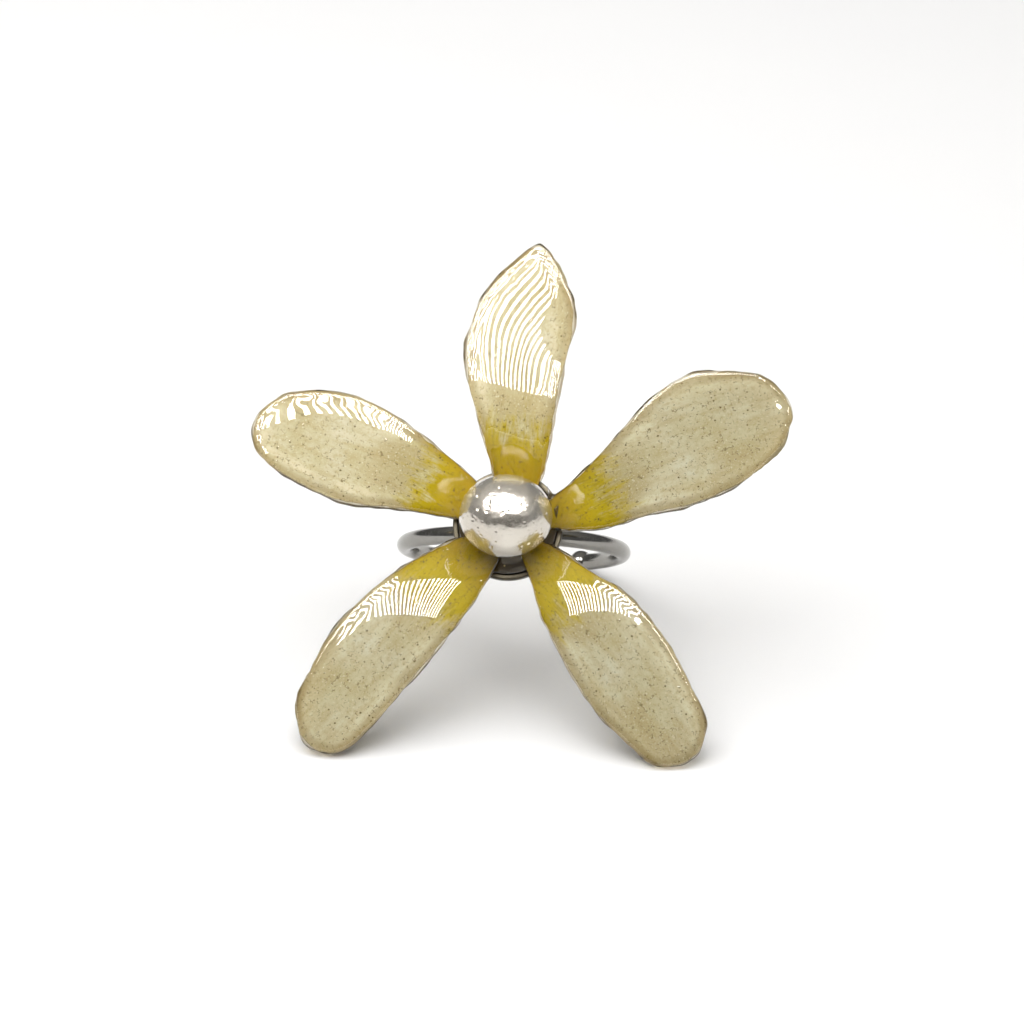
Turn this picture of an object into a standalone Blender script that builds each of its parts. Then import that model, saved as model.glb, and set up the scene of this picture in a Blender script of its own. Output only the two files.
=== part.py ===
"""A finger ring that carries a frangipani flower: five dried petals, each sealed in clear resin, spread
from a resin bed in a small round steel tray, with a pearl at the centre. The tray is welded to an open
band of round wire that ends in two balls.

The flower is made in its own frame: the tray's rim is its plane z = 0, +Y points along the top petal
and +Z out of the flower. An empty then leans that frame back, until the tips of the two lower petals
and the band's ball ends stand on the same floor, and puts the origin at the bottom centre of the box.
"""

import math

import bmesh
import bpy
import numpy as np
from mathutils import Vector

MM = 0.001

# Clearances between pieces that touch on the real ring
SEAT_GAP = 0.3 * MM
SKIN_GAP = 0.1 * MM

# Tray, measured from its rim's plane downwards
TRAY_RADIUS = 5.0 * MM
TRAY_WALL = 0.5 * MM
TRAY_DEPTH = 0.5 * MM
TRAY_FLOOR = 0.6 * MM
TRAY_BEVEL = 0.12 * MM
TRAY_SIDES = 40

# Open band of wire, in the plane of X and Z
WIRE_RADIUS = 0.8 * MM
BAND_RADIUS = 10.3 * MM
BAND_OFFSET = -0.55 * MM
BALL_RADIUS = 1.15 * MM
HALF_OPENING = math.radians(37.0)
BAND_STEPS = 42

# Pearl: half of its width, height and depth, and how far it sits above the tray's centre
PEARL_SIZE = Vector((4.2, 3.75, 3.8)) * MM
PEARL_OFFSET = 0.25 * MM

# Resin bed in the tray, and its web that runs out between the top and the upper right petals
BED_TOP = 0.2 * MM
BED_BEVEL = 0.15 * MM
WEB_TURN = math.radians(40.0)
WEB_REACH = 4.6 * MM
WEB_SIZE = Vector((1.3, 0.7, 0.34)) * MM
WEB_HEIGHT = 0.4 * MM

# Petals and their coats of resin. A coat is thickest along its middle, thinner at its rim, and thinner
# again at its base, where it fits under the pearl.
COAT_MIDDLE = 1.3 * MM
COAT_RIM_SHARE = 0.72
COAT_BASE_SHARE = 0.55
BASE_TAPER = 0.25
COAT_BEVEL = 0.28 * MM
PETAL_THICKNESS = 0.3 * MM
PETAL_INSET = 0.55 * MM
PETAL_START = 0.01
CAVITY_MOUTH = -0.04
COAT_GRID = (18, 8)
PETAL_GRID = (16, 5)

# Finer than any feature of a piece: two points this near are one
MERGE = 0.001 * MM

# Edges sharper than this are rounded
SHARP = math.radians(50.0)

# Height of a petal's midline over the rim's plane: at its base, this far from the axis, and on its
# crest. Past the crest it falls by TIP_FALL in TIP_REACH. CLIMB_POWER sets how early it climbs.
BASE_START = 2.4 * MM
BASE_HEIGHT = 0.72 * MM
CREST_HEIGHT = 4.1 * MM
CLIMB_POWER = 2.5
TIP_REACH = 12.0 * MM
TIP_FALL = 0.5 * MM

# The share of each edge, from the base, that a petal's side takes. The rest of it goes round the tip.
SIDE_SHARE = 0.86

# The share of a petal's length over which its sides begin to fall away from its midline
DOME_START = 0.4

# The flower leans back by an angle between these two, which is searched for
LEAN_LIMITS = (math.radians(10.0), math.radians(80.0))

# Each petal's turn in degrees, how far its crest is from the axis and how far its rim is under its
# midline in millimetres, and its two edges from the base to the tip, which they share: millimetres
# along the petal's axis and to its left.
PETALS = {
    "top": {
        "turn": 86.4,
        "crest": 12.0,
        "dome": 0.3,
        "left": [
            (2.4, 1.1), (4.4, 1.8), (9.4, 3.7), (12.6, 4.9),
            (16.2, 5.2), (20.0, 4.2), (23.5, 1.5), (25.4, -0.6),
        ],
        "right": [
            (2.4, -1.5), (3.8, -2.7), (5.8, -3.1), (11.1, -3.6), (15.0, -4.0),
            (18.4, -4.5), (21.4, -3.6), (25.4, -0.6),
        ],
    },
    "upper_right": {
        "turn": 22.2,
        "crest": 15.0,
        "dome": 0.3,
        "left": [
            (2.4, 0.6), (5.5, 1.0), (9.4, 2.4), (14.8, 5.0),
            (18.7, 6.4), (22.2, 5.8), (25.8, 4.3), (27.7, 0.7),
        ],
        "right": [
            (2.4, -1.2), (4.6, -2.5), (8.0, -3.8), (12.3, -4.2),
            (16.8, -4.8), (22.3, -4.0), (26.0, -2.0), (27.7, 0.7),
        ],
    },
    "lower_right": {
        "turn": -52.2,
        "crest": 14.0,
        "dome": 0.3,
        "left": [
            (2.4, 1.3), (5.7, 2.7), (8.2, 3.4), (10.5, 4.5), (14.1, 5.3),
            (18.0, 5.3), (22.1, 4.7), (25.4, 3.7), (27.3, 0.9),
        ],
        "right": [
            (2.4, -0.7), (5.1, -1.4), (8.9, -2.6), (13.9, -3.4),
            (18.6, -3.7), (22.6, -3.0), (25.8, -1.9), (27.3, 0.9),
        ],
    },
    "lower_left": {
        "turn": -134.2,
        "crest": 15.0,
        "dome": 0.3,
        "left": [
            (2.4, 1.8), (5.8, 3.1), (9.5, 3.9), (14.1, 4.6),
            (18.0, 5.0), (22.0, 5.2), (25.2, 4.8), (26.9, 2.2),
        ],
        "right": [
            (2.4, -1.1), (4.3, -2.2), (7.3, -2.9), (12.0, -3.7),
            (16.8, -3.7), (21.0, -2.8), (25.0, -0.9), (26.9, 2.2),
        ],
    },
    "upper_left": {
        "turn": 157.0,
        "crest": 14.0,
        "dome": 0.3,
        "left": [
            (2.4, 1.1), (5.2, 1.9), (9.2, 3.2), (14.0, 4.9),
            (17.5, 5.0), (21.4, 4.5), (23.8, 3.1), (24.6, 1.0),
        ],
        "right": [
            (2.4, -1.2), (4.0, -2.4), (8.6, -3.5), (12.6, -4.3),
            (16.2, -4.6), (20.4, -3.4), (23.2, -1.7), (24.6, 1.0),
        ],
    },
}

# Colours
COLOURS = {
    "petal": ((0.62, 0.56, 0.33, 1.0), 0.55, 0.0),
    "resin": ((0.72, 0.66, 0.42, 1.0), 0.05, 0.0),
    "resin_bed": ((0.16, 0.12, 0.05, 1.0), 0.08, 0.0),
    "pearl": ((0.86, 0.83, 0.78, 1.0), 0.18, 0.0),
    "steel": ((0.55, 0.55, 0.56, 1.0), 0.15, 1.0),
}


def clear_scene():
    for obj in list(bpy.data.objects):
        bpy.data.objects.remove(obj, do_unlink=True)


def new_collection(name):
    collection = bpy.data.collections.new(name)
    bpy.context.scene.collection.children.link(collection)
    return collection


def make_material(name):
    colour, roughness, metallic = COLOURS[name]
    material = bpy.data.materials.new(name)
    material.use_nodes = True
    shader = material.node_tree.nodes["Principled BSDF"]
    shader.inputs["Base Color"].default_value = colour
    shader.inputs["Roughness"].default_value = roughness
    shader.inputs["Metallic"].default_value = metallic
    material.diffuse_color = colour
    return material


def add_mesh(name, bm, collection, parent, material=None):
    """A new object that takes over the bmesh, in the flower's frame."""
    mesh = bpy.data.meshes.new(name)
    bm.to_mesh(mesh)
    bm.free()
    obj = bpy.data.objects.new(name, mesh)
    collection.objects.link(obj)
    obj.parent = parent
    if material:
        mesh.materials.append(material)
    return obj


def as_cutter(obj):
    obj.hide_render = True
    obj.display_type = "WIRE"
    return obj


def boolean(obj, operation, other):
    modifier = obj.modifiers.new(operation.lower(), "BOOLEAN")
    modifier.operation = operation
    modifier.solver = "EXACT"
    modifier.object = other


def bevel(obj, width, segments=1):
    modifier = obj.modifiers.new("bevel", "BEVEL")
    modifier.width = width
    modifier.segments = segments
    modifier.limit_method = "ANGLE"
    modifier.angle_limit = SHARP


def eased(share):
    """0 to 1 with no slope at either end."""
    share = min(max(share, 0.0), 1.0)
    return share * share * (3.0 - 2.0 * share)


def rim_share(u, v):
    """0 along a petal's midline to 1 on its rim, at the sides and at the tip."""
    return 1 - (1 - v * v) * (1 - max(u, 0.0) ** 6)


def climb_share(distance, crest):
    """0 at a petal's base to 1 from its crest on, with no slope at either end."""
    rest = 1 - min(max((distance - BASE_START) / (crest - BASE_START), 0.0), 1.0)
    return 1 - rest**CLIMB_POWER * (1 + CLIMB_POWER * (1 - rest))


def petal_edges(spec):
    """The left and the right edge, each a function of 0 at the base to 1 at the tip, on one curve."""
    outline = spec["left"] + spec["right"][-2::-1]
    points = [Vector(point) * MM for point in outline]
    spans = [(b - a).length for a, b in zip(points, points[1:])]
    ends = [sum(spans[:i]) / sum(spans) for i in range(len(points))]
    tip = ends[len(spec["left"]) - 1]
    slopes = []
    for i in range(len(points)):
        before, after = max(i - 1, 0), min(i + 1, len(points) - 1)
        slopes.append((points[after] - points[before]) / (ends[after] - ends[before]))

    def at(place):
        i = max(k for k in range(len(points) - 1) if k == 0 or ends[k] <= place)
        width = ends[i + 1] - ends[i]
        t = (place - ends[i]) / width
        return (
            points[i] * (2 * t**3 - 3 * t**2 + 1)
            + slopes[i] * width * (t**3 - 2 * t**2 + t)
            + points[i + 1] * (3 * t**2 - 2 * t**3)
            + slopes[i + 1] * width * (t**3 - t**2)
        )

    return lambda share: at(share * tip), lambda share: at(1 - share * (1 - tip))


def petal_surface(spec):
    """A function of u, 0 at the base to 1 at the tip, and v, -1 on the right edge to 1 on the left."""
    left, right = petal_edges(spec)

    def between_sides(side, v):
        return (left(side) * (1 + v) + right(side) * (1 - v)) / 2

    def at(u, v):
        edge = left if v > 0 else right
        round_tip = edge(1 - (1 - SIDE_SHARE) * abs(v)) - between_sides(SIDE_SHARE, v)
        flat = between_sides(SIDE_SHARE * u, v) + round_tip * max(u, 0.0) ** 4
        height = BASE_HEIGHT + (CREST_HEIGHT - BASE_HEIGHT) * climb_share(flat.x, spec["crest"] * MM)
        height -= TIP_FALL * (max(flat.x - spec["crest"] * MM, 0.0) / TIP_REACH) ** 2
        height -= spec["dome"] * MM * rim_share(u, v) * eased(u / DOME_START)
        return Vector((flat.x, flat.y, height))

    return at


def evenly(start, rows):
    """The places of rows from start to the tip, at 1."""
    return [start + (1 - start) * i / rows for i in range(rows + 1)]


def petal_sheet(name, spec, rows, columns, inset, collection, parent, material=None):
    """The petal's middle surface as an open grid, with the coat's share of thickness at each point."""
    surface = petal_surface(spec)
    bm = bmesh.new()
    last = len(rows) - 1
    bmesh.ops.create_grid(bm, x_segments=last, y_segments=columns, size=1.0)
    length = surface(1, 0).x
    shares = []
    for vert in bm.verts:
        u = rows[round((vert.co.x + 1) / 2 * last)] * (1 - inset / length)
        v = vert.co.y
        half_width = (surface(u, 1) - surface(u, -1)).length / 2
        v *= 1 - inset / half_width
        share = 1 - (1 - COAT_RIM_SHARE) * rim_share(u, v)
        shares.append(share * (COAT_BASE_SHARE + (1 - COAT_BASE_SHARE) * eased(u / BASE_TAPER)))
        vert.co = surface(u, v)
    sheet = add_mesh(name, bm, collection, parent, material)
    sheet.rotation_euler.z = math.radians(spec["turn"])
    group = sheet.vertex_groups.new(name="thickness")
    for index, share in enumerate(shares):
        group.add([index], share, "REPLACE")
    return sheet


def solidify(sheet, thickness, by_share=False):
    modifier = sheet.modifiers.new("solidify", "SOLIDIFY")
    modifier.thickness = thickness
    modifier.offset = 0.0
    modifier.use_even_offset = True
    modifier.use_quality_normals = True
    if by_share:
        modifier.vertex_group = "thickness"


def make_petal(name, spec, collection, cutters, parent, materials):
    """The dried petal, and the coat of clear resin round it, which is open at the petal's cut base."""
    rows = evenly(PETAL_START, PETAL_GRID[0])
    petal = petal_sheet(
        "petal_" + name,
        spec,
        rows,
        PETAL_GRID[1],
        PETAL_INSET,
        collection,
        parent,
        materials["petal"],
    )
    solidify(petal, PETAL_THICKNESS)
    cavity = petal_sheet(
        "cavity_" + name,
        spec,
        [CAVITY_MOUTH] + rows,
        PETAL_GRID[1],
        PETAL_INSET - SKIN_GAP,
        cutters,
        parent,
    )
    solidify(cavity, PETAL_THICKNESS + 2 * SKIN_GAP)
    coat = petal_sheet(
        "resin_coat_" + name,
        spec,
        evenly(0.0, COAT_GRID[0]),
        COAT_GRID[1],
        0.0,
        collection,
        parent,
        materials["resin"],
    )
    solidify(coat, COAT_MIDDLE, by_share=True)
    bevel(coat, COAT_BEVEL)
    boolean(coat, "DIFFERENCE", as_cutter(cavity))


def make_tray(collection, parent, material):
    """A turned tray. Its profile runs from the floor's middle, over the rim, to the underside."""
    inner = TRAY_RADIUS - TRAY_WALL
    profile = [
        (0.0, -TRAY_DEPTH),
        (inner, -TRAY_DEPTH),
        (inner, 0.0),
        (TRAY_RADIUS, 0.0),
        (TRAY_RADIUS, -TRAY_DEPTH - TRAY_FLOOR),
        (0.0, -TRAY_DEPTH - TRAY_FLOOR),
    ]
    bm = bmesh.new()
    verts = [bm.verts.new((x, 0.0, z)) for x, z in profile]
    for a, b in zip(verts, verts[1:]):
        bm.edges.new((a, b))
    tray = add_mesh("ring_tray", bm, collection, parent, material)
    screw = tray.modifiers.new("turn", "SCREW")
    screw.steps = TRAY_SIDES
    screw.render_steps = TRAY_SIDES
    screw.use_merge_vertices = True
    screw.merge_threshold = MERGE
    bevel(tray, TRAY_BEVEL, 2)


def make_bed(collection, cutters, parent, material):
    """The pool of resin that holds the petals and the pearl in the tray, joined to its web."""
    bottom = -TRAY_DEPTH + SKIN_GAP
    bm = bmesh.new()
    radius = TRAY_RADIUS - TRAY_WALL - SKIN_GAP
    bmesh.ops.create_cone(
        bm,
        cap_ends=True,
        segments=TRAY_SIDES,
        radius1=radius,
        radius2=radius,
        depth=BED_TOP - bottom,
    )
    bmesh.ops.translate(bm, verts=bm.verts, vec=(0.0, 0.0, (BED_TOP + bottom) / 2))
    bed = add_mesh("resin_bed", bm, collection, parent, material)
    bevel(bed, BED_BEVEL)
    bm = bmesh.new()
    bmesh.ops.create_uvsphere(bm, u_segments=20, v_segments=10, radius=1.0)
    bmesh.ops.scale(bm, verts=bm.verts, vec=WEB_SIZE)
    bmesh.ops.translate(bm, verts=bm.verts, vec=(WEB_REACH, 0.0, WEB_HEIGHT))
    web = as_cutter(add_mesh("resin_web", bm, cutters, parent))
    web.rotation_euler.z = WEB_TURN
    boolean(bed, "UNION", web)


def make_pearl(collection, parent, material):
    bm = bmesh.new()
    bmesh.ops.create_uvsphere(bm, u_segments=28, v_segments=16, radius=1.0)
    bmesh.ops.scale(bm, verts=bm.verts, vec=PEARL_SIZE)
    pearl = add_mesh("pearl", bm, collection, parent, material)
    pearl.location = (0.0, PEARL_OFFSET, BED_TOP + SEAT_GAP + PEARL_SIZE.z)


def make_band(collection, cutters, parent, material):
    """The open wire band behind the tray, as a mesh joined to the ball at each end."""
    centre_z = -(TRAY_DEPTH + TRAY_FLOOR + SEAT_GAP + WIRE_RADIUS + BAND_RADIUS)
    centre = Vector((0.0, BAND_OFFSET, centre_z))
    sweep = math.pi - HALF_OPENING
    angles = [sweep * (2 * i / BAND_STEPS - 1) for i in range(BAND_STEPS + 1)]
    route = [centre + BAND_RADIUS * Vector((math.sin(a), 0.0, math.cos(a))) for a in angles]

    curve = bpy.data.curves.new("band_wire", "CURVE")
    curve.dimensions = "3D"
    curve.bevel_depth = WIRE_RADIUS
    curve.bevel_resolution = 3
    curve.use_fill_caps = True
    spline = curve.splines.new("POLY")
    spline.points.add(len(route) - 1)
    for point, place in zip(spline.points, route):
        point.co = (*place, 1.0)
    wire = bpy.data.objects.new("band_wire", curve)
    collection.objects.link(wire)
    graph = bpy.context.evaluated_depsgraph_get()
    mesh = bpy.data.meshes.new_from_object(wire.evaluated_get(graph))
    bm = bmesh.new()
    bm.from_mesh(mesh)
    bmesh.ops.remove_doubles(bm, verts=bm.verts, dist=MERGE)
    band = add_mesh("ring_band", bm, collection, parent, material)
    band.matrix_basis = wire.matrix_world
    bpy.data.objects.remove(wire)
    bpy.data.curves.remove(curve)
    bpy.data.meshes.remove(mesh)

    for side, place in (("left", route[0]), ("right", route[-1])):
        bm = bmesh.new()
        bmesh.ops.create_uvsphere(bm, u_segments=18, v_segments=10, radius=BALL_RADIUS)
        ball = as_cutter(add_mesh("ball_" + side, bm, cutters, parent))
        ball.location = place
        boolean(band, "UNION", ball)
    return band


def points_of(objects):
    """Every point of the objects as the viewport evaluates them, in world space."""
    graph = bpy.context.evaluated_depsgraph_get()
    found = []
    for obj in objects:
        evaluated = obj.evaluated_get(graph)
        mesh = evaluated.to_mesh()
        found += [evaluated.matrix_world @ vert.co for vert in mesh.vertices]
        evaluated.to_mesh_clear()
    return np.array(found)


def lean_and_place(parent, parts, band):
    """Leans the flower back until its lower petals and the band touch one floor, and centres it."""
    petals = points_of([obj for obj in parts if obj is not band])
    wire = points_of([band])

    def heights(points, angle):
        return points[:, 1] * math.cos(angle) + points[:, 2] * math.sin(angle)

    low, high = LEAN_LIMITS
    for _ in range(50):
        middle = (low + high) / 2
        if heights(petals, middle).min() < heights(wire, middle).min():
            low = middle
        else:
            high = middle
    parent.rotation_euler.x = math.pi / 2 - low
    bpy.context.view_layer.update()
    points = points_of(parts)
    least, most = points.min(axis=0), points.max(axis=0)
    centre = (least + most) / 2
    parent.location = (-centre[0], -centre[1], -least[2])


def main():
    clear_scene()
    collection = new_collection("frangipani_flower_ring")
    cutters = new_collection("cutters")
    flower = bpy.data.objects.new("flower_frame", None)
    collection.objects.link(flower)
    materials = {name: make_material(name) for name in COLOURS}

    for name, spec in PETALS.items():
        make_petal(name, spec, collection, cutters, flower, materials)
    make_tray(collection, flower, materials["steel"])
    make_bed(collection, cutters, flower, materials["resin_bed"])
    make_pearl(collection, flower, materials["pearl"])
    band = make_band(collection, cutters, flower, materials["steel"])

    bpy.context.view_layer.update()
    parts = [obj for obj in collection.objects if obj.type == "MESH"]
    lean_and_place(flower, parts, band)


main()
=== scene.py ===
"""Looks of the frangipani flower ring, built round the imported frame.

Each petal is a thin sheet with its own colours, sealed in a coat of clear resin. Both are made from their
CAD solids: the mesh is copied, turned into quads and subdivided. It is then moved a little, to give the
ripples of the resin and of the petal's edge, and lifted in broad swells. The other pieces are made anew to
the CAD's sizes. Lengths are in metres and MM turns millimetres into them.
"""

import math

import bmesh
import bpy
import numpy as np
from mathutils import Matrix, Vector, noise
from mathutils.bvhtree import BVHTree
from mathutils.kdtree import KDTree


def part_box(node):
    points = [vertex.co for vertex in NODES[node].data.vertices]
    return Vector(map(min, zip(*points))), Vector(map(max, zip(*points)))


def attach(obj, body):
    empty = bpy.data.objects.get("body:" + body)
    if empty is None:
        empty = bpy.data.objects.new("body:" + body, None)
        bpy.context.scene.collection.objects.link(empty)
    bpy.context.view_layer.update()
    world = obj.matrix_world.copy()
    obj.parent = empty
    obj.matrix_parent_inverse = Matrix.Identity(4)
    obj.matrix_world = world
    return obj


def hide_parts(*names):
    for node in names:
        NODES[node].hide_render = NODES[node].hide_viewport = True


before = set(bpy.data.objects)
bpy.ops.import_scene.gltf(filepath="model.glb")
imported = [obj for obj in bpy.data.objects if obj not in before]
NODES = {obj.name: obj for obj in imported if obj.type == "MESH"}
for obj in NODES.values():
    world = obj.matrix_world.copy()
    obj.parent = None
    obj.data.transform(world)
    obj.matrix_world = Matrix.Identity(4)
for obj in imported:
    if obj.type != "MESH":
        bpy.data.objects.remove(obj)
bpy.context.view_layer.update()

MM = 0.001
PETALS = ("top", "upper_right", "lower_right", "lower_left", "upper_left")

# Camera: where it stands round the ring, how far from the tray, and how far right of and above the tray's
# middle it looks. The lens and the sensor's width are in millimetres.
CAMERA_AZIMUTH = math.radians(3.4)
CAMERA_ELEVATION = math.radians(31.3)
CAMERA_DISTANCE = 280 * MM
CAMERA_LENS = 108.3
CAMERA_SENSOR = 36.0
CAMERA_NEAR = 10 * MM
CAMERA_AIM = (0.36 * MM, 1.27 * MM)

# Light panel: a row of tubes that run front to back, over and in front of the ring. They show only as
# stripes in what is glossy. A larger soft light, higher up and to the left, lights the rest.
PANEL_HEIGHT = 350 * MM
PANEL_FRONT = -300 * MM
PANEL_BACK = -40 * MM
PANEL_HALF_WIDTH = 300 * MM
PANEL_TUBES = 24
PANEL_TUBE_SHARE = 0.42
PANEL_POWER = 6.0
SOFT_HEIGHT = 450 * MM
SOFT_SIZE = (640 * MM, 480 * MM)
SOFT_PLACE = (-120 * MM, -30 * MM)
SOFT_POWER = 2.9

# The floor begins to glow at the first distance from the ring and glows fully at the second, so that it
# doesn't turn dark far off.
FLOOR_SIZE = 6.0
FLOOR_GLOW_REACH = (0.25, 1.2)

# Light of the studio all round, of the dim room in front and of the ceiling, and what the camera sees
# behind the ring
STUDIO_COLOUR = (0.17, 0.17, 0.17, 1.0)
ROOM_COLOUR = (0.03, 0.025, 0.02, 1.0)
CEILING_COLOUR = (0.34, 0.33, 0.31, 1.0)
BACKDROP_COLOUR = (1.0, 1.0, 1.0, 1.0)

# Where the studio turns into ceiling, and where the room's side, foot and top fade. They are shares of a
# ray's way: straight up is 1 for the heights, and straight to the front is -1 for ROOM_SIDE.
CEILING_FADE = (0.25, 0.75)
ROOM_SIDE = (-0.8, -0.5)
ROOM_FOOT = (-0.1, 0.05)
ROOM_TOP = (0.55, 0.68)

# Petals: how far their yellow reaches from the tray's middle, in millimetres
YELLOW_REACH = {"top": 8.5, "upper_right": 10.2, "lower_right": 10.6, "lower_left": 10.6, "upper_left": 8.8}
# How light each petal is made: its colours below are multiplied by this share, one number for the whole
# petal
PETAL_SHADE = {"top": 0.87, "upper_right": 0.67, "lower_right": 0.63, "lower_left": 0.67, "upper_left": 0.84}

# Broad rises in each petal and its coat: the place along and across the petal, the half length and half
# width, and the height, all in millimetres. A rise towards an upper petal's far edge turns the face before
# it down, away from the light panel, and so does the top petal's hollow, whose height is below 0. A rise
# near a lower petal's root brings the panel's stripes up towards the root.
SWELLS = {
    "top": ((29, -5, 9, 5, 1.3), (15, -5, 8, 5, -0.8)),
    "upper_right": ((20, 8, 13, 6, 1.8),),
    "lower_right": ((7, 3, 8, 6, 1.2),),
    "lower_left": ((8, -1, 8, 6, 1.0),),
    "upper_left": ((18, -5, 10, 5, 0.8),),
}

# Fine meshes: corners this near are one, triangles that bend and skew less than this are joined, and
# faces this near the petal are the walls of its cavity. The levels are those of the subdivision.
MERGE = 0.002 * MM
QUAD_BEND = math.radians(40)
QUAD_SKEW = math.radians(60)
CAVITY_REACH = 0.25 * MM
PETAL_LEVELS = 3
WEB_LEVELS = 2

# Coats: the rings round the rim, a bead and a groove, by height, distance from the rim and width; a broad
# ripple; a fine ripple, which is higher near the rim; and scallops at the rim. A pair holds a height and
# its waves a metre.
COAT_RINGS = ((0.03 * MM, 0.35 * MM, 0.25 * MM), (-0.012 * MM, 1.0 * MM, 0.35 * MM))
COAT_RIPPLE = ((0.015 * MM, 300),)
FINE_WAVES = 1100
FINE_HEIGHT = 0.001 * MM
FINE_RIM_HEIGHT = 0.012 * MM
FINE_RIM_WIDTH = 1.1 * MM
COAT_SCALLOPS = ((0.28 * MM, 270), (0.12 * MM, 800))
SCALLOP_WIDTH = 0.5 * MM

# Petals: the notches of their edge, and how far the edge is spread towards the coat's
PETAL_NOTCHES = ((0.09 * MM, 900), (0.05 * MM, 2200))
NOTCH_WIDTH = 0.3 * MM
PETAL_SPREAD = 0.34 * MM
SPREAD_WIDTH = 1.0 * MM

# Colours of the petals and the resin, in 0 to 1 linear light
CREAM = (0.500, 0.448, 0.275, 1.0)
PALE_CREAM = (0.590, 0.550, 0.395, 1.0)
TAN = (0.390, 0.310, 0.140, 1.0)
RIM_TAN = (0.290, 0.225, 0.105, 1.0)
# A painted glow near the rim, for the light that comes through the thin edge
RIM_PAINTED_GLOW = (0.800, 0.740, 0.540, 1.0)
YELLOW = (0.480, 0.365, 0.0005, 1.0)
AMBER_AND_SHADE = (0.400, 0.265, 0.001, 1.0)
OLIVE = (0.330, 0.255, 0.002, 1.0)
SPECK = (0.110, 0.075, 0.020, 1.0)
GLINT = (0.640, 0.600, 0.440, 1.0)
GREY_CREAM = (0.640, 0.620, 0.500, 1.0)
RESIN_EDGE = (0.22, 0.16, 0.08, 1.0)
RESIN_RIM = (0.82, 0.75, 0.58, 1.0)
RESIN_CLEAR = (0.97, 0.955, 0.90, 1.0)

# Colours of the rest, in 0 to 255 on the screen: a material's darkest and lightest
STEEL = ((138, 136, 131), (164, 162, 157))
DULL_STEEL = ((66, 61, 50), (88, 82, 70))
# The resin's darkness is painted shade of the hollow under the petals and the pearl
RESIN_PAINTED_SHADE = ((44, 34, 14), (88, 72, 38))
BUBBLE_GLINT = (220, 200, 130)
NACRE = ((208, 200, 188), (222, 216, 204))
FLOOR = ((247, 247, 248), (249, 249, 249))

# A ring of places with a smaller radius than this is a single place.
POINT = 0.01 * MM

# Wire band: the wire's radius, the balls' radius, the angle from the opening's middle to a ball, and the
# steps along the wire, over a ball's outer half and from there to its neck
WIRE_RADIUS = 0.8 * MM
BALL_RADIUS = 1.15 * MM
HALF_OPENING = math.radians(37.0)
BAND_STEPS = 220
CAP_STEPS = 14
NECK_STEPS = 8
WIRE_SIDES = 28

# Tray: its wall, its floor's depth under the rim, and the radius of its rounded edges
TRAY_WALL = 0.5 * MM
TRAY_DEPTH = 0.5 * MM
TRAY_ROUND = 0.14 * MM
TRAY_SIDES = 160

# Solder bead: half of its size right, up and out, and the height and waves a metre of its wobble
SOLDER_HALF = (2.7 * MM, 1.0 * MM, 0.5 * MM)
SOLDER_WOBBLE = (0.05 * MM, 900)
SOLDER_RINGS = 25
SOLDER_SIDES = 36

# Pool of resin: its gap to the tray's wall, the height of its middle over the rim's plane, how much lower
# it is near its edge, how much higher it is at the wall, how wide that lip is, and its rounding
BED_GAP = 0.04 * MM
BED_TOP = 0.2 * MM
BED_FALL = 0.08 * MM
BED_LIP = 0.02 * MM
BED_LIP_WIDTH = 0.5 * MM
BED_ROUND = 0.1 * MM
BED_WOBBLE = (0.05 * MM, 700)
BED_SIDES = 120

# Resin web: its corners in millimetres right, up and out, on the side of the top petal and then on the
# side of the upper right one, outer before inner; its thickness, how far its middle sags, and how far the
# middle of its outer edge is drawn in
WEB_CORNERS = (((3.5, 3.7, 1.25), (3.7, 2.3, 1.75)), ((4.95, 2.95, 1.25), (4.5, 0.8, 1.75)))
WEB_THICKNESS = 0.5 * MM
WEB_SAG = 0.45 * MM
WEB_NOTCH = 0.5 * MM

# Pearl: its waves by height, waves a radius and seed, the noise whose peaks are its dimples, and how much
# smaller it is made, to make up for the height of its waves. Heights are shares of its radius.
PEARL_WAVES = ((0.010, 1.3, 1), (0.0075, 3.5, 2), (0.0040, 9.0, 5))
DIMPLE_WAVES = 10.0
DIMPLE_SEED = 7
DIMPLE_FROM = 0.22
DIMPLE_DEPTH = 0.07
PEARL_SHRINK = 0.008


# ---------------------------------------------------------------- points and noise


def points_of(mesh):
    """The places of a mesh's points, one a row."""
    found = np.empty(len(mesh.vertices) * 3, np.float32)
    mesh.vertices.foreach_get("co", found)
    return found.reshape(-1, 3).astype(float)


def normals_of(mesh):
    """The normals of a mesh's points, one a row."""
    found = np.empty(len(mesh.vertices) * 3, np.float32)
    mesh.vertices.foreach_get("normal", found)
    return found.reshape(-1, 3).astype(float)


def set_points(mesh, places):
    """Moves a mesh's points to these places."""
    mesh.vertices.foreach_set("co", places.astype(np.float32).ravel())
    mesh.update()


def noise_at(places, scale, seed):
    """Smooth noise from -1 to 1 at each place, with scale waves to the places' unit of length."""
    shift = Vector((seed * 3.1, seed * 5.7, seed * 1.3))
    return np.array([noise.noise(Vector(place) * scale + shift) for place in places])


def waves_of(places, waves, seed):
    """Smooth noises added up. Each is given by its height and its waves a metre, and has the next seed."""
    return sum(height * noise_at(places, scale, seed + i) for i, (height, scale) in enumerate(waves))


def bell(distance, middle, width):
    """1 at the middle, 0.37 a width away from it, and close to 0 at two widths."""
    return np.exp(-(((distance - middle) / width) ** 2))


# ---------------------------------------------------------------- the flower's own frame


def flower_axes():
    """The middle of the tray's rim, and the flower's axes: right, up along the top petal, and out."""
    tray = np.unique(np.round(points_of(NODES["ring_tray"].data), 7), axis=0)
    middle = tray.mean(axis=0)
    out = np.linalg.svd(tray - middle)[2][2]
    out = out if out[1] < 0 else -out
    right = np.array((1.0, 0.0, 0.0))
    up = np.cross(out, right)
    middle = middle + out * ((tray - middle) @ out).max()
    return middle, right, up, out


CENTRE, RIGHT, UP, OUT = flower_axes()


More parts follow.
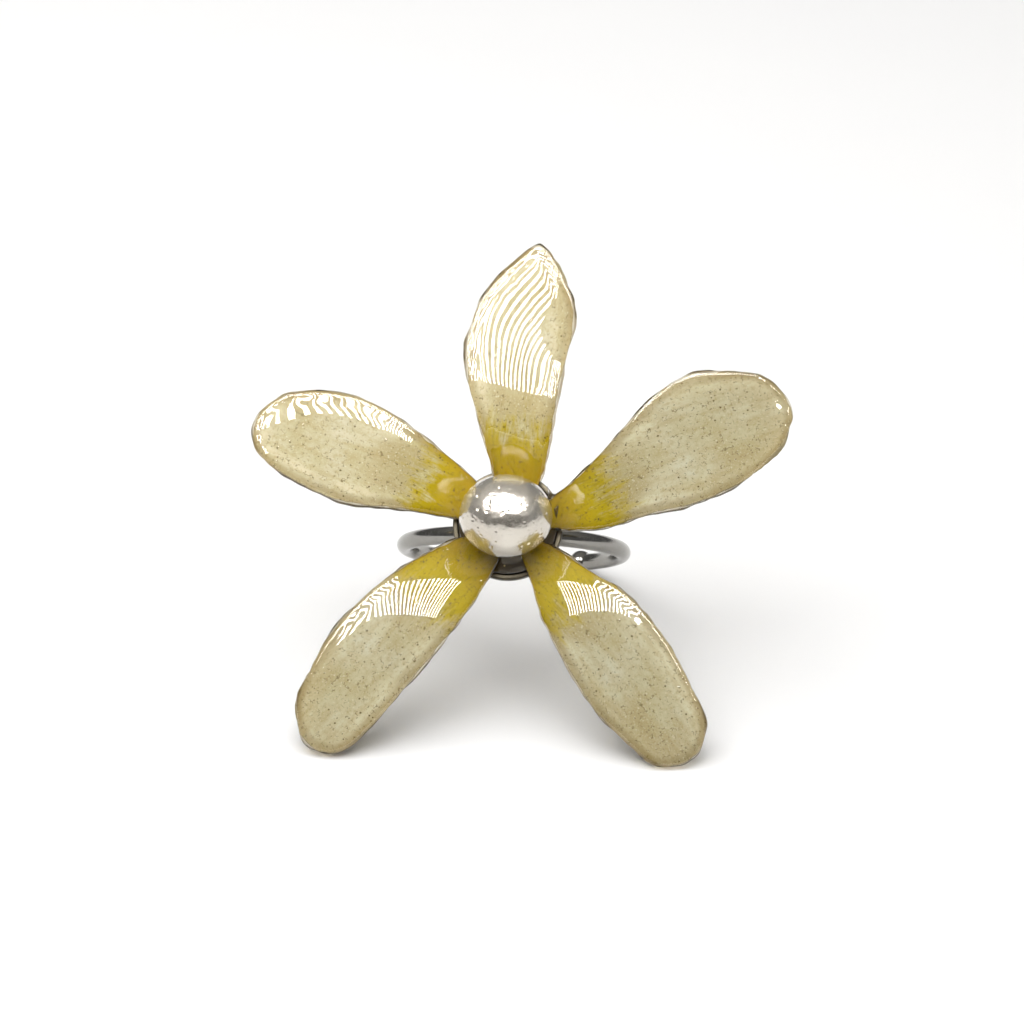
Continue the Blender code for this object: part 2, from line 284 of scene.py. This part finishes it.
def petal_axes(name):
    """A petal's own axes: along it from the tray's middle, across it to its left, and out."""
    towards = points_of(NODES["petal_" + name].data).mean(axis=0) - CENTRE
    along = towards - OUT * (towards @ OUT)
    along /= np.linalg.norm(along)
    return along, np.cross(OUT, along), OUT


def in_flower(right, up, out):
    """Places given by how far they are along the flower's axes from the middle of the tray's rim."""
    return CENTRE + np.multiply.outer(right, RIGHT) + np.multiply.outer(up, UP) + np.multiply.outer(out, OUT)


def spans(node):
    """A CAD node's lowest and highest place along the flower's axes: right, up and out."""
    places = (points_of(NODES[node].data) - CENTRE) @ np.array((RIGHT, UP, OUT)).T
    return places.min(axis=0), places.max(axis=0)


# ---------------------------------------------------------------- meshes made here


def new_piece(name, bm):
    """A new smooth-shaded object of the bmesh, which is used up."""
    bmesh.ops.recalc_face_normals(bm, faces=bm.faces)
    mesh = bpy.data.meshes.new(name)
    bm.to_mesh(mesh)
    bm.free()
    mesh.shade_smooth()
    obj = bpy.data.objects.new(name, mesh)
    bpy.context.scene.collection.objects.link(obj)
    return obj


def rounded(corners, radius, steps=5):
    """The outline with each inner corner turned into a small curve."""
    found = [np.array(corners[0])]
    for before, corner, after in zip(corners, corners[1:], corners[2:]):
        corner = np.array(corner)
        ends = []
        for other in (np.array(before), np.array(after)):
            way = other - corner
            ends.append(corner + way * min(0.45, radius / np.linalg.norm(way)))
        for t in np.linspace(0, 1, steps):
            found.append((1 - t) ** 2 * ends[0] + 2 * t * (1 - t) * corner + t**2 * ends[1])
    return found + [np.array(corners[-1])]


def tube_of_rings(name, rings):
    """A closed piece through rings of places. Its first and last ring may each be a single place."""
    bm = bmesh.new()
    rows = [[bm.verts.new(place) for place in ring] for ring in rings]
    for a, b in zip(rows, rows[1:]):
        count = max(len(a), len(b))
        for i in range(count):
            corners = [a[i % len(a)], a[(i + 1) % len(a)], b[(i + 1) % len(b)], b[i % len(b)]]
            bm.faces.new(list(dict.fromkeys(corners)))
    return new_piece(name, bm)


def turned(name, profile, sides):
    """A profile of radius and height, both ends of it on the flower's out axis, turned round that axis."""
    angles = np.linspace(0, 2 * math.pi, sides, endpoint=False)
    rings = []
    for radius, height in profile:
        around = angles if radius > 0 else angles[:1]
        level = np.full(len(around), height)
        rings.append(in_flower(radius * np.cos(around), radius * np.sin(around), level))
    return tube_of_rings(name, rings)


def wobble(obj, height, waves):
    """Moves each point along its normal by smooth noise, of this height and waves a metre."""
    places = points_of(obj.data)
    shift = height * noise_at(places, waves, 3)
    set_points(obj.data, places + normals_of(obj.data) * shift[:, None])


def make_tray(material):
    """The steel tray, turned, with its edges rounded as by polishing."""
    low, high = spans("ring_tray")
    radius = high[0]
    corners = (
        (0.0, -TRAY_DEPTH),
        (radius - TRAY_WALL, -TRAY_DEPTH),
        (radius - TRAY_WALL, high[2]),
        (radius, high[2]),
        (radius, low[2]),
        (0.0, low[2]),
    )
    tray = turned("steel_tray", rounded(corners, TRAY_ROUND), TRAY_SIDES)
    tray.data.materials.append(material)
    finish_piece(tray, "steel", "ring_tray")


def make_band(steel):
    """The open band: one sweep of the wire's circle, which swells into a ball at each end."""
    low, high = spans("ring_band")
    radius = high[0] - WIRE_RADIUS
    up = (low[1] + high[1]) / 2
    middle_out = high[2] - WIRE_RADIUS - radius
    half_length = radius * (math.pi - HALF_OPENING)
    neck = math.sqrt(BALL_RADIUS**2 - WIRE_RADIUS**2)
    cap = BALL_RADIUS * -np.cos(np.linspace(0, math.pi / 2, CAP_STEPS))
    to_neck = np.linspace(0, neck, NECK_STEPS)[1:]
    wire = np.linspace(-half_length + neck, half_length - neck, BAND_STEPS)[1:-1]
    start = np.concatenate([cap, to_neck]) - half_length
    lengths = np.concatenate([start, wire, -start[::-1]])
    sides = np.linspace(0, 2 * math.pi, WIRE_SIDES, endpoint=False)
    rings = []
    for length in lengths:
        from_ball = half_length - abs(length)
        thick = math.sqrt(max(BALL_RADIUS**2 - from_ball**2, 0.0)) if from_ball < neck else WIRE_RADIUS
        if thick < POINT:
            thick = 0.0
        around = sides if thick else sides[:1]
        turn = length / radius
        reach = radius + thick * np.cos(around)
        sideways, outwards = reach * math.sin(turn), reach * math.cos(turn)
        rings.append(in_flower(sideways, up + thick * np.sin(around), middle_out + outwards))
    band = tube_of_rings("steel_band", rings)
    band.data.materials.append(steel)
    finish_piece(band, "steel", "ring_band")


def make_solder(material):
    """The bead of solder that holds the tray on the band."""
    tray, band = spans("ring_tray"), spans("ring_band")
    up = (band[0][1] + band[1][1]) / 2
    out = (tray[0][2] + band[1][2]) / 2
    half_right, half_up, half_out = SOLDER_HALF
    sides = np.linspace(0, 2 * math.pi, SOLDER_SIDES, endpoint=False)
    rings = []
    for slope in np.linspace(0, math.pi, SOLDER_RINGS):
        around = sides if 0 < slope < math.pi else sides[:1]
        ring = in_flower(
            half_right * math.cos(slope) * np.ones(len(around)),
            up + half_up * math.sin(slope) * np.cos(around),
            out + half_out * math.sin(slope) * np.sin(around),
        )
        rings.append(ring)
    bead = tube_of_rings("solder_bead", rings)
    wobble(bead, *SOLDER_WOBBLE)
    bead.data.materials.append(material)
    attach(bead, "root")


def make_bed(material):
    """The pool of resin in the tray, a little uneven, with its edge drawn up the tray's wall."""
    tray, bed = spans("ring_tray"), spans("resin_bed")
    radius = tray[1][0] - TRAY_WALL - BED_GAP
    bottom = bed[0][2]
    corners = [(0.0, bottom), (radius, bottom), (radius, BED_TOP + BED_LIP)]
    corners.append((radius - BED_LIP_WIDTH, BED_TOP - BED_FALL))
    profile = rounded(corners, BED_ROUND)
    for share in np.linspace(0.85, 0.0, 22):
        profile.append(np.array((radius * share, BED_TOP - BED_FALL * share**2)))
    pool = turned("resin_pool", profile, BED_SIDES)
    wobble(pool, *BED_WOBBLE)
    pool.data.materials.append(material)
    finish_piece(pool, "resin_bed", "resin_bed")


def make_web(material):
    """The web of resin that runs up between the top and the upper right petals, made dark as painted shade
    of the recess that it fills.
    """
    (top_outer, top_inner), (right_outer, right_inner) = np.array(WEB_CORNERS) * MM
    bm = bmesh.new()
    bmesh.ops.create_grid(bm, x_segments=12, y_segments=12, size=1.0)
    for vert in bm.verts:
        s, t = (vert.co.x + 1) / 2, (vert.co.y + 1) / 2
        outer = top_outer * (1 - s) + right_outer * s
        inner = top_inner * (1 - s) + right_inner * s
        place = outer * (1 - t) + inner * t
        place[:2] *= 1 - WEB_NOTCH * math.sin(math.pi * s) * (1 - t) / np.linalg.norm(place[:2])
        place[2] -= WEB_SAG * math.sin(math.pi * s)
        vert.co = in_flower(*place)
    bmesh.ops.solidify(bm, geom=bm.faces, thickness=WEB_THICKNESS)
    web = new_piece("resin_web", bm)
    smooth(web, WEB_LEVELS)
    web.data.materials.append(material)
    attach(web, "root")


def make_pearl(material):
    """The pearl: a ball of its real, slightly flat proportions, with the shallow dimples of nacre."""
    low, high = spans("pearl")
    bm = bmesh.new()
    bmesh.ops.create_icosphere(bm, subdivisions=7, radius=1.0)
    unit = np.array([vert.co for vert in bm.verts])
    middle, half = (low + high) / 2, (high - low) / 2
    shift = sum(height * noise_at(unit, waves, seed) for height, waves, seed in PEARL_WAVES)
    dimples = noise_at(unit, DIMPLE_WAVES, DIMPLE_SEED)
    shift -= DIMPLE_DEPTH * np.clip(dimples - DIMPLE_FROM, 0, 1) ** 2
    local = unit * half * (1 + shift - PEARL_SHRINK)[:, None] + middle
    for vert, place in zip(bm.verts, in_flower(*local.T)):
        vert.co = place
    pearl = new_piece("nacre_pearl", bm)
    pearl.data.materials.append(material)
    finish_piece(pearl, "pearl", "pearl")


# ---------------------------------------------------------------- fine meshes from CAD solids


def welded(node):
    """A bmesh of a CAD node, with the corners that the import split made one again."""
    bm = bmesh.new()
    bm.from_mesh(NODES[node].data)
    bmesh.ops.remove_doubles(bm, verts=bm.verts, dist=MERGE)
    return bm


def make_quads(bm):
    """Joins triangles in pairs, so that the mesh subdivides evenly."""
    bmesh.ops.join_triangles(
        bm, faces=bm.faces, angle_face_threshold=QUAD_BEND, angle_shape_threshold=QUAD_SKEW
    )


def smooth(obj, levels):
    """Gives the object the mesh that a subdivision surface makes of its own."""
    modifier = obj.modifiers.new("smooth", "SUBSURF")
    modifier.levels = levels
    graph = bpy.context.evaluated_depsgraph_get()
    coarse = obj.data
    fine = bpy.data.meshes.new_from_object(obj.evaluated_get(graph))
    obj.modifiers.clear()
    obj.data = fine
    bpy.data.meshes.remove(coarse)
    fine.name = obj.name
    fine.shade_smooth()


def remove_cavity(bm, petal_node):
    """Takes away the coat's inner faces, which point at the petal that they hold, and closes the base."""
    petal = welded(petal_node)
    tree = BVHTree.FromBMesh(petal)
    petal.free()
    inner = []
    for face in bm.faces:
        centre = face.calc_center_median()
        nearest = tree.find_nearest(centre)[0]
        if (nearest - centre).dot(face.normal) > 0 and (nearest - centre).length < CAVITY_REACH:
            inner.append(face)
    bmesh.ops.delete(bm, geom=inner, context="FACES")
    open_edges = [edge for edge in bm.edges if edge.is_boundary]
    bmesh.ops.holes_fill(bm, edges=open_edges, sides=0)


def rim_distance(places, rim, axes):
    """How far each place is from the rim, in the petal's plane."""
    tree = KDTree(len(rim))
    for i, place in enumerate(rim):
        tree.insert((place @ axes[0], place @ axes[1], 0.0), i)
    tree.balance()
    return np.array([tree.find((place @ axes[0], place @ axes[1], 0.0))[2] for place in places])


def rim_of(mesh, places):
    """The places of a mesh's outline as seen along the flower's out axis."""
    faces = [0] * len(mesh.vertices)
    front = [0] * len(mesh.vertices)
    for polygon in mesh.polygons:
        facing = np.array(polygon.normal) @ OUT > 0
        for index in polygon.vertices:
            faces[index] += 1
            front[index] += facing
    return places[[0 < f < n for f, n in zip(front, faces)]]


def add_petal_places(mesh, name, places, rim, axes):
    """Each point's place in millimetres for the materials: along, across, and from the rim. A second
    attribute holds how far it is past the petal's yellow."""
    along = (places - CENTRE) @ axes[0]
    values = np.stack([along, (places - CENTRE) @ axes[1], rim_distance(places, rim, axes)], axis=1)
    attribute = mesh.attributes.new("petal_place", "FLOAT_VECTOR", "POINT")
    attribute.data.foreach_set("vector", (values / MM).astype(np.float32).ravel())
    attribute = mesh.attributes.new("past_yellow", "FLOAT", "POINT")
    attribute.data.foreach_set("value", (along / MM - YELLOW_REACH[name]).astype(np.float32))


def swell_of(name, places, axes):
    """How far the petal's broad rises lift each place."""
    along, across = (places - CENTRE) @ axes[0] / MM, (places - CENTRE) @ axes[1] / MM
    lift = np.zeros(len(places))
    for at, beside, half_length, half_width, height in SWELLS[name]:
        far, wide = (along - at) / half_length, (across - beside) / half_width
        lift += height * MM * np.exp(-(far**2) - wide**2)
    return np.outer(lift, axes[2])


def fine_piece(name, bm):
    """The bmesh as a smooth object, with its places, their normals, the part of each normal that lies in
    the petal's plane, and its rim."""
    make_quads(bm)
    piece = new_piece(name, bm)
    smooth(piece, PETAL_LEVELS)
    places, normals = points_of(piece.data), normals_of(piece.data)
    sideways = normals - np.outer(normals @ OUT, OUT)
    return piece, places, normals, sideways, rim_of(piece.data, places)


def finish_petal_piece(piece, name, places, rim, material):
    """Lifts a petal's or its coat's places by the swells, and gives the piece them and its material."""
    axes = petal_axes(name)
    places = places + swell_of(name, places, axes)
    set_points(piece.data, places)
    add_petal_places(piece.data, name, places, rim, axes)
    piece.data.materials.clear()
    piece.data.materials.append(material)


def make_coat(name, seed, material):
    """The coat of resin: a rounded bead round the petal's edge, and a rippled surface inside it."""
    bm = welded("resin_coat_" + name)
    remove_cavity(bm, "petal_" + name)
    coat, places, normals, sideways, rim = fine_piece("coat_" + name, bm)
    distance = rim_distance(places, rim, petal_axes(name))
    swell = sum(height * bell(distance, middle, width) for height, middle, width in COAT_RINGS)
    swell += waves_of(places, COAT_RIPPLE, seed)
    fine_height = FINE_HEIGHT + FINE_RIM_HEIGHT * bell(distance, 0.0, FINE_RIM_WIDTH)
    swell += fine_height * noise_at(places, FINE_WAVES, seed + 1)
    scallop = waves_of(places, COAT_SCALLOPS, seed + 2) * bell(distance, 0.0, SCALLOP_WIDTH)
    places = places + normals * swell[:, None] + sideways * scallop[:, None]
    finish_petal_piece(coat, name, places, rim, material)
    coat.visible_shadow = False
    finish_piece(coat, "resin", "resin_coat_" + name)


def make_petal(name, seed, material):
    """The dried petal inside its coat: a thin sheet with a slightly ragged edge."""
    petal, places, normals, sideways, rim = fine_piece("dried_petal_" + name, welded("petal_" + name))
    distance = rim_distance(places, rim, petal_axes(name))
    shift = waves_of(places, PETAL_NOTCHES, seed + 4) * bell(distance, 0.0, NOTCH_WIDTH)
    shift += PETAL_SPREAD * bell(distance, 0.0, SPREAD_WIDTH)
    places = places + sideways * shift[:, None]
    finish_petal_piece(petal, name, places, rim, material)
    finish_piece(petal, "petal", "petal_" + name)


def finish_piece(obj, slot, *nodes):
    """Tells the frame what the piece rides on, and hides the CAD nodes that it replaces. The slot is not
    used.
    """
    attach(obj, "root")
    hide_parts(*nodes)


# ---------------------------------------------------------------- materials


class Nodes:
    """Short calls that build a material's node tree."""

    def __init__(self, name):
        self.material = bpy.data.materials.new(name)
        self.material.use_nodes = True
        self.tree = self.material.node_tree
        self.shader = self.tree.nodes["Principled BSDF"]

    @classmethod
    def of_world(cls, world):
        nodes = cls.__new__(cls)
        nodes.tree = world.node_tree
        nodes.shader = nodes.tree.nodes["Background"]
        return nodes

    def set(self, **sockets):
        """Sets the shader's sockets, each named with _ for a space."""
        for name, value in sockets.items():
            self.shader.inputs[name.replace("_", " ")].default_value = value

    def link(self, value, socket):
        self.tree.links.new(value, socket)

    def put(self, socket, value):
        """Links the socket to another one, or sets it to a plain value. None leaves it as it is."""
        if isinstance(value, bpy.types.NodeSocket):
            self.link(value, socket)
        elif value is not None:
            socket.default_value = value

    def new(self, kind, **settings):
        node = self.tree.nodes.new(kind)
        for name, value in settings.items():
            setattr(node, name, value)
        return node

    def attribute(self, name, output="Vector"):
        return self.new("ShaderNodeAttribute", attribute_name=name).outputs[output]

    def object_place(self):
        return self.new("ShaderNodeTexCoord").outputs["Object"]

    def split(self, vector):
        node = self.new("ShaderNodeSeparateXYZ")
        self.link(vector, node.inputs[0])
        return node.outputs

    def join(self, x, y, z):
        node = self.new("ShaderNodeCombineXYZ")
        for socket, value in zip(node.inputs, (x, y, z)):
            self.put(socket, value)
        return node.outputs[0]

    def maths(self, operation, a, b=None, clamp=False):
        node = self.new("ShaderNodeMath", operation=operation, use_clamp=clamp)
        self.put(node.inputs[0], a)
        self.put(node.inputs[1], b)
        return node.outputs[0]

    def ramp(self, value, low, high, out_low=0.0, out_high=1.0):
        """Goes smoothly from out_low to out_high as the value goes from low to high, and stays there."""
        node = self.new("ShaderNodeMapRange", interpolation_type="SMOOTHSTEP")
        for socket, number in zip(node.inputs, (value, low, high, out_low, out_high)):
            self.put(socket, number)
        return node.outputs[0]

    def noise(self, vector, scale, detail=2.0, roughness=0.5):
        node = self.new("ShaderNodeTexNoise")
        self.put(node.inputs["Vector"], vector)
        node.inputs["Scale"].default_value = scale
        node.inputs["Detail"].default_value = detail
        node.inputs["Roughness"].default_value = roughness
        return node.outputs["Fac"]

    def cells(self, vector, scale):
        """Scattered cells: how far a place is from its cell's middle, and the cell's own random number."""
        node = self.new("ShaderNodeTexVoronoi")
        self.put(node.inputs["Vector"], vector)
        node.inputs["Scale"].default_value = scale
        return node.outputs["Distance"], self.split(node.outputs["Color"])[0]

    def mix(self, factor, a, b, blend="MIX"):
        node = self.new("ShaderNodeMix", data_type="RGBA", blend_type=blend)
        self.put(node.inputs[0], factor)
        self.put(node.inputs[6], a)
        self.put(node.inputs[7], b)
        return node.outputs[2]

    def bump(self, height, distance, strength=1.0, normal=None):
        node = self.new("ShaderNodeBump")
        node.inputs["Strength"].default_value = strength
        node.inputs["Distance"].default_value = distance
        self.put(node.inputs["Height"], height)
        self.put(node.inputs["Normal"], normal)
        return node.outputs[0]


def srgb(*levels):
    """A colour given as 0 to 255 on the screen, as the shader's linear colour."""
    shares = [level / 255 for level in levels]
    return (*(c / 12.92 if c <= 0.04045 else ((c + 0.055) / 1.055) ** 2.4 for c in shares), 1.0)


def shades(levels):
    """A material's darkest and lightest colour, both given as 0 to 255 on the screen."""
    return [srgb(*level) for level in levels]


def speckle(n, colour, vector, scale, radius, kept, dot, strength):
    """Scatters dots of one colour over another. kept is the share of the cells with a dot."""
    near, chance = n.cells(vector, scale)
    spot = n.ramp(near, radius, radius * 1.8, strength, 0.0)
    return n.mix(n.maths("MULTIPLY", spot, n.maths("LESS_THAN", chance, kept)), colour, dot)


def petal_material(name):
    """A dried petal: cream with tan streaks and mottling, a yellow base, and dark specks."""
    n = Nodes("dried_petal_" + name)
    along, across, rim = n.split(n.attribute("petal_place"))
    flat = n.join(along, across, 0.0)
    lengthwise = n.join(n.maths("MULTIPLY", along, 0.2), across, 0.0)

    # Cream, with broad clouds and fine streaks, and pale grain and dots in the glint colour: partly the
    # petal's own grain, partly painted glints of tiny bubbles in the resin
    cloud = n.noise(flat, 0.22, 3.0)
    streak = n.noise(lengthwise, 1.1, 4.0, 0.6)
    mottle = n.noise(flat, 2.6, 5.0, 0.7)
    grain = n.noise(flat, 6.0, 3.0, 0.6)
    warmth = n.noise(flat, 0.14, 3.0)
    colour = n.mix(n.ramp(cloud, 0.36, 0.64), CREAM, PALE_CREAM)
    # Lighter near the rim: painted glow of the light that comes through the thin edge from behind and up
    # from the floor
    colour = n.mix(n.ramp(rim, 0.4, 2.0, 0.5, 0.0), colour, RIM_PAINTED_GLOW)
    colour = n.mix(n.ramp(warmth, 0.48, 0.64, 0.0, 0.5), colour, TAN)
    colour = n.mix(n.ramp(warmth, 0.34, 0.46, 0.5, 0.0), colour, GREY_CREAM)
    colour = n.mix(n.ramp(streak, 0.42, 0.72, 0.0, 0.5), colour, TAN)
    colour = n.mix(n.ramp(mottle, 0.48, 0.68, 0.0, 0.55), colour, TAN)
    colour = n.mix(n.ramp(grain, 0.55, 0.70, 0.0, 0.8), colour, GLINT)
    colour = n.mix(n.ramp(rim, 0.1, 0.6, 0.4, 0.0), colour, RIM_TAN)
    colour = speckle(n, colour, flat, 2.2, 0.12, 0.4, GLINT, 0.8)

    # The yellow, with a feathered border, a darker amber at the root, which is partly the colour of the
    # thick resin there and partly painted shade beside the pearl, and olive veins
    past = n.attribute("past_yellow", "Fac")
    feather = n.maths("MULTIPLY", n.maths("SUBTRACT", n.noise(lengthwise, 1.6, 5.0, 0.65), 0.5), 8.0)
    blotch = n.maths("MULTIPLY", n.maths("SUBTRACT", n.noise(flat, 0.7, 4.0, 0.6), 0.5), 5.0)
    edge = n.maths("ADD", past, n.maths("ADD", feather, blotch))
    colour = n.mix(n.ramp(edge, -2.0, 1.6, 1.0, 0.0), colour, YELLOW)
    colour = n.mix(n.ramp(along, 4.6, 8.2, 0.9, 0.0), colour, AMBER_AND_SHADE)
    vein = n.noise(lengthwise, 3.0, 4.0, 0.65)
    veined = n.maths("MULTIPLY", n.ramp(vein, 0.47, 0.66), n.ramp(past, -0.5, 2.0, 0.6, 0.0))
    colour = n.mix(veined, colour, OLIVE)

    # Dark hairs, where a noise crosses its middle, and dark specks, round and drawn out
    bend = n.maths("ABSOLUTE", n.maths("SUBTRACT", n.noise(flat, 1.9, 1.0), 0.5))
    kept = n.ramp(n.noise(flat, 2.3, 2.0), 0.52, 0.58)
    colour = n.mix(n.maths("MULTIPLY", kept, n.ramp(bend, 0.008, 0.03, 0.6, 0.0)), colour, SPECK)
    drawn_out = n.join(n.maths("MULTIPLY", along, 0.55), across, 0.0)
    colour = speckle(n, colour, flat, 1.15, 0.065, 0.8, SPECK, 0.9)
    colour = speckle(n, colour, drawn_out, 2.6, 0.09, 0.6, SPECK, 0.7)

    shade = PETAL_SHADE[name]
    colour = n.mix(1.0, colour, (shade, shade, shade, 1.0), "MULTIPLY")
    n.link(colour, n.shader.inputs["Base Color"])
    n.set(Roughness=0.6, Specular_IOR_Level=0.08)
    fibres = n.noise(flat, 2.6, 4.0, 0.6)
    n.link(n.bump(fibres, 0.10 * MM, 0.5), n.shader.inputs["Normal"])
    return n.material


def coat_material():
    """Clear resin, darker at the rim, with small round bumps as of bubbles under its surface."""
    n = Nodes("clear_resin")
    along, across, rim = n.split(n.attribute("petal_place"))
    tint = n.mix(n.ramp(rim, 0.0, 0.28), RESIN_EDGE, RESIN_RIM)
    tint = n.mix(n.ramp(rim, 0.2, 0.9), tint, RESIN_CLEAR)
    n.link(tint, n.shader.inputs["Base Color"])
    n.set(Roughness=0.01, IOR=1.53, Transmission_Weight=1.0)
    near = n.cells(n.join(along, across, 0.0), 1.15)[0]
    n.link(n.bump(n.ramp(near, 0.05, 0.16, 1.0, 0.0), 0.01 * MM, 0.4), n.shader.inputs["Normal"])
    return n.material


def bed_material():
    """Olive brown resin, made dark as painted shade of the hollow under the petals and the pearl, with pale
    dots that are painted glints of bubbles.
    """
    n = Nodes("shaded_resin")
    place = n.object_place()
    cloud = n.noise(place, 900, 3.0)
    # Dark olive brown: painted shade of the hollow where the pool and the web lie
    colour = n.mix(cloud, *shades(RESIN_PAINTED_SHADE))
    # Pale dots: painted glints of bubbles in the resin
    colour = speckle(n, colour, place, 1500, 0.12, 0.2, srgb(*BUBBLE_GLINT), 1.0)
    n.link(colour, n.shader.inputs["Base Color"])
    n.set(Roughness=0.1, Coat_Weight=1.0, Coat_Roughness=0.03)
    n.link(n.bump(cloud, 0.05 * MM, 0.3), n.shader.inputs["Normal"])
    return n.material


def pearl_material():
    """White nacre: soft underneath, with a clear gloss over it."""
    n = Nodes("pearl_nacre")
    place = n.object_place()
    cloud = n.noise(place, 260, 3.0)
    colour = n.mix(n.ramp(cloud, 0.3, 0.7), *shades(NACRE))
    n.link(colour, n.shader.inputs["Base Color"])
    n.set(Metallic=0.84, Roughness=0.25, Coat_Weight=1.0, Coat_Roughness=0.04, Coat_IOR=1.6)
    grain = n.noise(place, 2600, 3.0, 0.6)
    n.link(n.bump(grain, 0.02 * MM, 0.35), n.shader.inputs["Normal"])
    return n.material


def steel_material(name, levels, roughness):
    """Polished or dull steel, slightly worn."""
    n = Nodes(name)
    place = n.object_place()
    wear = n.noise(place, 1200, 4.0, 0.6)
    colour = n.mix(wear, *shades(levels))
    n.link(colour, n.shader.inputs["Base Color"])
    n.link(n.ramp(wear, 0.3, 0.7, roughness, roughness + 0.1), n.shader.inputs["Roughness"])
    n.set(Metallic=1.0)
    n.link(n.bump(n.noise(place, 2400, 3.0), 0.01 * MM, 0.25), n.shader.inputs["Normal"])
    return n.material


# ---------------------------------------------------------------- stage


def make_floor():
    """The white floor, which glows far off."""
    bpy.ops.mesh.primitive_plane_add(size=FLOOR_SIZE)
    floor = bpy.context.object
    floor.name = "studio_floor"
    n = Nodes("white_floor")
    grain = n.noise(n.object_place(), 40, 2.0)
    n.link(n.mix(grain, *shades(FLOOR)), n.shader.inputs["Base Color"])
    n.set(Roughness=0.9, Specular_IOR_Level=0.0)
    far = n.new("ShaderNodeVectorMath", operation="LENGTH")
    n.link(n.object_place(), far.inputs[0])
    n.link(n.ramp(far.outputs["Value"], *FLOOR_GLOW_REACH, 0.0, 1.0), n.shader.inputs["Emission Strength"])
    n.set(Emission_Color=(1.0, 1.0, 1.0, 1.0))
    floor.data.materials.append(n.material)


def area_light(name, size, place, power):
    """A rectangular light that shines straight down."""
    lamp = bpy.data.lights.new(name, "AREA")
    lamp.shape = "RECTANGLE"
    lamp.size, lamp.size_y = size
    lamp.energy = power
    light = bpy.data.objects.new(name, lamp)
    light.location = place
    bpy.context.scene.collection.objects.link(light)
    return light


def make_lights():
    """The panel's tubes, seen only in reflections, and the soft light, which lights all else."""
    pitch = 2 * PANEL_HALF_WIDTH / PANEL_TUBES
    length = PANEL_BACK - PANEL_FRONT
    for i in range(PANEL_TUBES):
        place = (-PANEL_HALF_WIDTH + pitch * (i + 0.5), PANEL_FRONT + length / 2, PANEL_HEIGHT)
        size = (pitch * PANEL_TUBE_SHARE, length)
        tube = area_light(f"tube_{i}", size, place, PANEL_POWER / PANEL_TUBES)
        tube.visible_diffuse = False
    soft = area_light("soft_light", SOFT_SIZE, (*SOFT_PLACE, SOFT_HEIGHT), SOFT_POWER)
    soft.visible_glossy = False


def make_world():
    """A dark grey studio under a paler ceiling, and a dim room in front. The camera itself sees white."""
    world = bpy.data.worlds.new("studio")
    world.use_nodes = True
    bpy.context.scene.world = world
    n = Nodes.of_world(world)
    y, z = n.split(n.new("ShaderNodeTexCoord").outputs["Generated"])[1:]
    colour = n.mix(n.ramp(z, *CEILING_FADE), STUDIO_COLOUR, CEILING_COLOUR)
    front = n.ramp(y, *ROOM_SIDE, 1.0, 0.0)
    level = n.maths("MULTIPLY", n.ramp(z, *ROOM_FOOT), n.ramp(z, *ROOM_TOP, 1.0, 0.0))
    colour = n.mix(n.maths("MULTIPLY", front, level), colour, ROOM_COLOUR)
    seen = n.new("ShaderNodeLightPath").outputs["Is Camera Ray"]
    n.link(n.mix(seen, colour, BACKDROP_COLOUR), n.shader.inputs["Color"])


def make_camera():
    """The camera, aimed a little off the tray's middle."""
    camera = bpy.data.objects.new("camera", bpy.data.cameras.new("camera"))
    bpy.context.scene.collection.objects.link(camera)
    low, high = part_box("ring_tray")
    towards = Vector(
        (
            math.sin(CAMERA_AZIMUTH) * math.cos(CAMERA_ELEVATION),
            -math.cos(CAMERA_AZIMUTH) * math.cos(CAMERA_ELEVATION),
            math.sin(CAMERA_ELEVATION),
        )
    )
    turn = towards.to_track_quat("Z", "Y")
    aim = (low + high) / 2 + turn @ Vector((*CAMERA_AIM, 0.0))
    camera.location = aim + towards * CAMERA_DISTANCE
    camera.rotation_euler = turn.to_euler()
    camera.data.lens = CAMERA_LENS
    camera.data.sensor_width = CAMERA_SENSOR
    camera.data.clip_start = CAMERA_NEAR
    bpy.context.scene.camera = camera


def main():
    scene = bpy.context.scene
    scene.view_settings.view_transform = "Standard"
    make_camera()
    make_world()
    make_lights()
    make_floor()

    coat = coat_material()
    for seed, name in enumerate(PETALS):
        make_petal(name, 10 * seed, petal_material(name))
        make_coat(name, 10 * seed, coat)
    steel = steel_material("polished_steel", STEEL, 0.12)
    dull = steel_material("dull_steel", DULL_STEEL, 0.3)
    shaded_resin = bed_material()
    make_tray(dull)
    make_band(steel)
    make_solder(steel)
    make_bed(shaded_resin)
    make_web(shaded_resin)
    make_pearl(pearl_material())


main()
